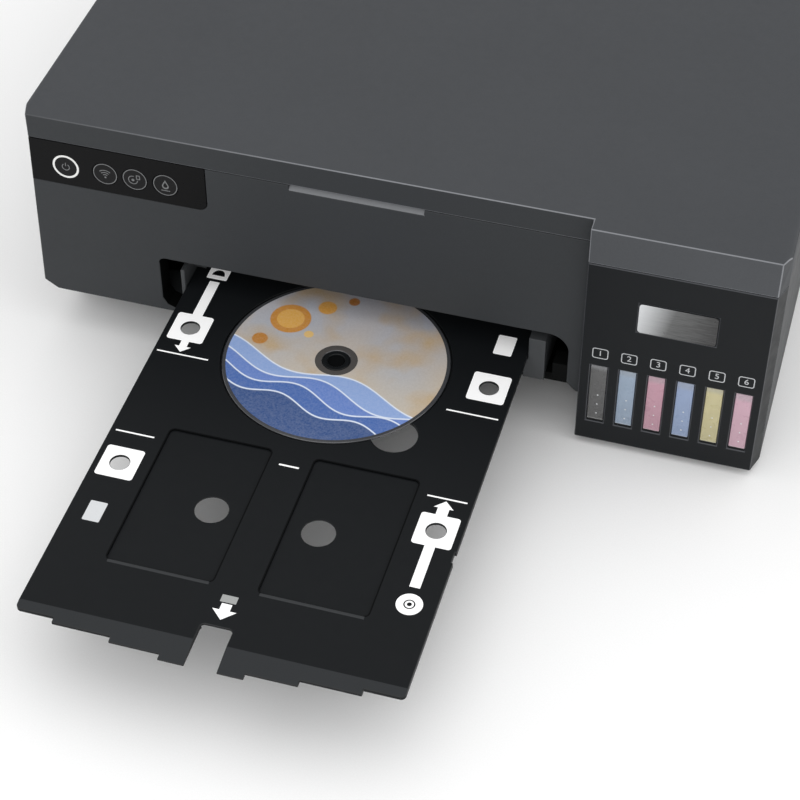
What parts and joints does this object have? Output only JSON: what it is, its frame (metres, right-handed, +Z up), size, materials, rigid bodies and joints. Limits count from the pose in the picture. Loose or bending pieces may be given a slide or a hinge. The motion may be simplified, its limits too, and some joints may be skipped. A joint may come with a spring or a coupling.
{
  "type": "disc label printer",
  "caption": "Six-ink tank printer with a lid, a refillable tank unit and a slide-in tray that carries a disc or two cards under the print head.",
  "frame": {"origin": "on the floor, under the middle of the box that holds the printer and its drawn-out tray", "axes": "+X to the printer's right as seen from its front, +Y from front to back, +Z up"},
  "size_m": [0.403, 0.6024, 0.149],
  "materials": {
    "base_abs": "fine moulded texture",
    "housing_abs": "fine moulded texture",
    "lid_abs": "fine moulded texture",
    "foot_rubber": "matt",
    "panel_gloss": "polished",
    "button_white": "satin ring with a dark middle",
    "button_gloss": "polished",
    "tank_black": "satin",
    "badge_silver": "brushed, bare",
    "tank_clear": "clear moulded plastic",
    "ink_fill": "liquid, one colour to a tank",
    "tray_black": "satin",
    "disc_print": null,
    "guide_grey": "satin",
    "inner_black": "satin",
    "frame_steel": "zinc plated",
    "roller_steel": "ground",
    "roller_rubber": "matt",
    "star_steel": "thin stainless",
    "gear_acetal": "natural acetal",
    "pinion_brass": "turned",
    "motor_steel": "plated can",
    "head_film": "moulded head with a steel nozzle plate",
    "belt_rubber": "matt",
    "strip_film": "clear film",
    "tube_rubber": "soft tubing",
    "pad_felt": "felt",
    "board_green": "circuit board",
    "inlet_black": "satin",
    "screw_steel": "black zinc",
    "cap_1": "soft moulded cap in its ink's colour",
    "cap_2": "soft moulded cap in its ink's colour",
    "cap_3": "soft moulded cap in its ink's colour",
    "cap_4": "soft moulded cap in its ink's colour",
    "cap_5": "soft moulded cap in its ink's colour",
    "cap_6": "soft moulded cap in its ink's colour"
  },
  "bodies": {
    "housing": {"base_tub": "base_abs", "rubber_feet": "foot_rubber", "front_cover": "housing_abs", "left_side_cover": "housing_abs", "right_side_cover": "housing_abs", "rear_cover": "base_abs", "rear_top_cover": "lid_abs", "control_panel": "panel_gloss", "tank_panel": "tank_black", "badge_plate": "badge_silver", "ink_tank_1": "tank_clear", "ink_tank_2": "tank_clear", "ink_tank_3": "tank_clear", "ink_tank_4": "tank_clear", "ink_tank_5": "tank_clear", "ink_tank_6": "tank_clear", "tank_inks": "ink_fill", "tray_guides": "guide_grey", "steel_frame": "frame_steel", "feed_motor": "motor_steel", "platen": "inner_black", "carriage_motor": "motor_steel", "timing_belt": "belt_rubber", "encoder_strip": "strip_film", "ink_tube_ribbon": "tube_rubber", "capping_station": "inner_black", "waste_ink_pad": "pad_felt", "main_board": "board_green", "power_supply": "motor_steel", "power_inlet": "inlet_black", "feeder_frame": "inner_black", "cover_screws": "screw_steel"},
    "lid": {"printer_lid": "lid_abs"},
    "power_key": {"power_button": "button_white"},
    "network_key": {"network_button": "button_gloss"},
    "disc_key": {"disc_button": "button_gloss"},
    "cleaning_key": {"cleaning_button": "button_gloss"},
    "tray": {"disc_tray": "tray_black"},
    "disc": {"label_disc": "disc_print"},
    "output": {"output_tray": "inner_black"},
    "carrier": {"carriage": "inner_black", "print_head": "head_film"},
    "feed_shaft": {"feed_roller": "roller_steel"},
    "eject_shaft": {"eject_roller": "roller_rubber"},
    "pinch_shaft": {"pinch_rollers": "roller_rubber"},
    "star_shaft": {"star_wheels": "star_steel"},
    "idler": {"idler_gear": "gear_acetal"},
    "pinion": {"motor_pinion": "pinion_brass"},
    "drive_pulley": {"motor_pulley": "pinion_brass"},
    "tail_pulley": {"idler_pulley": "gear_acetal"},
    "support": {"paper_support": "lid_abs"},
    "guide_left": {"edge_guide_left": "guide_grey"},
    "guide_right": {"edge_guide_right": "guide_grey"},
    "pickup": {"pickup_roller": "roller_rubber"},
    "cap_1": {"tank_cap_1": "cap_1"},
    "cap_2": {"tank_cap_2": "cap_2"},
    "cap_3": {"tank_cap_3": "cap_3"},
    "cap_4": {"tank_cap_4": "cap_4"},
    "cap_5": {"tank_cap_5": "cap_5"},
    "cap_6": {"tank_cap_6": "cap_6"}
  },
  "joints": [
    {"name": "lid_hinge", "type": "hinge", "parent": "housing", "child": "lid", "pos_m": [0, 0.2102, 0.145], "axis": [-1, 0, 0], "range_deg": [0, 60]},
    {"name": "tray_slide", "type": "slide", "parent": "housing", "child": "tray", "axis": [0, -1, 0], "range_m": [-0.2, 0.06]},
    {"name": "disc_lift", "type": "slide", "parent": "tray", "child": "disc", "axis": [0, 0, 1], "range_m": [0, 0.012]},
    {"name": "output_slide", "type": "slide", "parent": "housing", "child": "output", "axis": [0, -1, 0], "range_m": [0, 0.13]},
    {"name": "power_press", "type": "slide", "parent": "housing", "child": "power_key", "axis": [0, 1, 0], "range_m": [0, 0.0008], "stiffness_N_per_m": 600},
    {"name": "network_press", "type": "slide", "parent": "housing", "child": "network_key", "axis": [0, 1, 0], "range_m": [0, 0.0008], "stiffness_N_per_m": 600},
    {"name": "disc_press", "type": "slide", "parent": "housing", "child": "disc_key", "axis": [0, 1, 0], "range_m": [0, 0.0008], "stiffness_N_per_m": 600},
    {"name": "cleaning_press", "type": "slide", "parent": "housing", "child": "cleaning_key", "axis": [0, 1, 0], "range_m": [0, 0.0008], "stiffness_N_per_m": 600},
    {"name": "cap_1_hinge", "type": "hinge", "parent": "housing", "child": "cap_1", "pos_m": [0.1136, -0.014, 0.0987], "axis": [-1, 0, 0], "range_deg": [0, 95]},
    {"name": "cap_2_hinge", "type": "hinge", "parent": "housing", "child": "cap_2", "pos_m": [0.12873, -0.014, 0.0987], "axis": [-1, 0, 0], "range_deg": [0, 95]},
    {"name": "cap_3_hinge", "type": "hinge", "parent": "housing", "child": "cap_3", "pos_m": [0.14386, -0.014, 0.0987], "axis": [-1, 0, 0], "range_deg": [0, 95]},
    {"name": "cap_4_hinge", "type": "hinge", "parent": "housing", "child": "cap_4", "pos_m": [0.15899, -0.014, 0.0987], "axis": [-1, 0, 0], "range_deg": [0, 95]},
    {"name": "cap_5_hinge", "type": "hinge", "parent": "housing", "child": "cap_5", "pos_m": [0.17412, -0.014, 0.0987], "axis": [-1, 0, 0], "range_deg": [0, 95]},
    {"name": "cap_6_hinge", "type": "hinge", "parent": "housing", "child": "cap_6", "pos_m": [0.18925, -0.014, 0.0987], "axis": [-1, 0, 0], "range_deg": [0, 95]},
    {"name": "carriage_slide", "type": "slide", "parent": "housing", "child": "carrier", "axis": [-1, 0, 0], "range_m": [0, 0.292]},
    {"name": "motor_pulley_spin", "type": "hinge", "parent": "housing", "child": "drive_pulley", "pos_m": [-0.1705, 0.0665, 0.092], "axis": [0, 1, 0], "range_deg": [-2, 2537]},
    {"name": "idler_pulley_spin", "type": "hinge", "parent": "housing", "child": "tail_pulley", "pos_m": [0.178, 0.0665, 0.092], "axis": [0, 1, 0], "range_deg": [-2, 2537]},
    {"name": "feed_roller_spin", "type": "hinge", "parent": "housing", "child": "feed_shaft", "pos_m": [0, 0.055, 0.04005], "axis": [1, 0, 0], "range_deg": [-2228, 670]},
    {"name": "eject_roller_spin", "type": "hinge", "parent": "housing", "child": "eject_shaft", "pos_m": [0, -0.005, 0.04005], "axis": [1, 0, 0], "range_deg": [-2228, 670]},
    {"name": "pinch_roller_spin", "type": "hinge", "parent": "housing", "child": "pinch_shaft", "pos_m": [0, 0.055, 0.05235], "axis": [1, 0, 0], "range_deg": [-831, 2764]},
    {"name": "star_wheel_spin", "type": "hinge", "parent": "housing", "child": "star_shaft", "pos_m": [0, -0.005, 0.05285], "axis": [1, 0, 0], "range_deg": [-742, 2467]},
    {"name": "idler_gear_spin", "type": "hinge", "parent": "housing", "child": "idler", "pos_m": [0, 0.025, 0.04005], "axis": [1, 0, 0], "range_deg": [-1189, 3958]},
    {"name": "motor_pinion_spin", "type": "hinge", "parent": "housing", "child": "pinion", "pos_m": [0, 0.07682, 0.02745], "axis": [1, 0, 0], "range_deg": [-2139, 7123]},
    {"name": "paper_support_hinge", "type": "hinge", "parent": "housing", "child": "support", "pos_m": [-0.0215, 0.2962, 0.146], "axis": [-1, 0, 0], "range_deg": [0, 108]},
    {"name": "edge_guide_left_slide", "type": "slide", "parent": "housing", "child": "guide_left", "axis": [1, 0, 0], "range_m": [0, 0.054]},
    {"name": "edge_guide_right_slide", "type": "slide", "parent": "housing", "child": "guide_right", "axis": [-1, 0, 0], "range_m": [0, 0.054]},
    {"name": "pickup_roller_spin", "type": "hinge", "parent": "housing", "child": "pickup", "pos_m": [-0.0215, 0.1712, 0.0822], "axis": [1, 0, 0], "continuous": true}
  ],
  "couplings": [
    {"joint": "feed_roller_spin", "follows": "tray_slide", "rad_per_m": 194.17},
    {"joint": "eject_roller_spin", "follows": "tray_slide", "rad_per_m": 194.17},
    {"joint": "idler_gear_spin", "follows": "tray_slide", "rad_per_m": -345.2},
    {"joint": "motor_pinion_spin", "follows": "tray_slide", "rad_per_m": -621.36},
    {"joint": "pinch_roller_spin", "follows": "tray_slide", "rad_per_m": -240.96},
    {"joint": "star_wheel_spin", "follows": "tray_slide", "rad_per_m": -215.05},
    {"joint": "motor_pulley_spin", "follows": "carriage_slide", "rad_per_m": 151.52},
    {"joint": "idler_pulley_spin", "follows": "carriage_slide", "rad_per_m": 151.52},
    {"joint": "edge_guide_right_slide", "follows": "edge_guide_left_slide", "ratio": 1}
  ]
}
